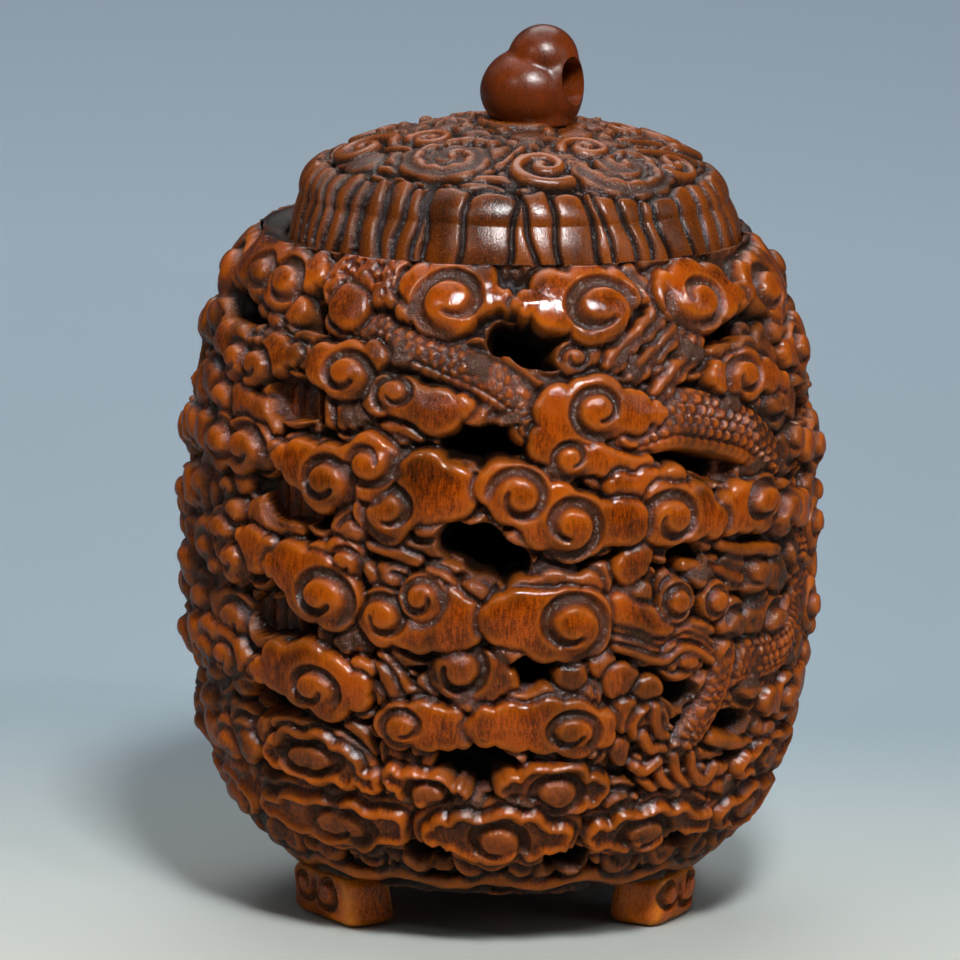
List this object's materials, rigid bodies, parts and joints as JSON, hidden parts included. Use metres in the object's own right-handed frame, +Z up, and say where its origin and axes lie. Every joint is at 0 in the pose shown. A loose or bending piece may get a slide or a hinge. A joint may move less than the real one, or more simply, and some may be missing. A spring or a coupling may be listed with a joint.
{
  "type": "cricket cage",
  "caption": "Barrel-shaped cricket cage of carved, pierced wood with cloud scrolls and a coiling dragon, on three bracket feet, with a lift-off domed lid and an eyed knob.",
  "frame": {"origin": "on the table at the middle of the feet, on the barrel's axis", "axes": "+Z up along the barrel's axis; -Y towards the pictured front of the carving; +X to its right"},
  "size_m": [0.0622, 0.0636, 0.0862],
  "materials": {
    "barrel_wood": "waxed reddish-brown close-grained hardwood, dark in the carving's depths",
    "floor_wood": "turned, waxed, dark brown",
    "foot_wood": "waxed, rubbed paler on the edges",
    "lid_wood": "waxed, dark reddish brown",
    "knob_wood": "polished, dark reddish brown",
    "dowel_wood": "plain turned dowel"
  },
  "bodies": {
    "cage_body": {"pierced_wall": "barrel_wood", "cloud_relief": "barrel_wood", "floor_disc": "floor_wood", "foot_front_right": "foot_wood", "foot_rear": "foot_wood", "foot_front_left": "foot_wood"},
    "lid_body": {"lid": "lid_wood", "dome_clouds": "lid_wood", "knob": "knob_wood", "knob_dowel": "dowel_wood"}
  },
  "joints": [
    {"name": "lid_lift", "type": "slide", "parent": "cage_body", "child": "lid_body", "axis": [0, 0, 1], "range_m": [0, 0.04]}
  ]
}
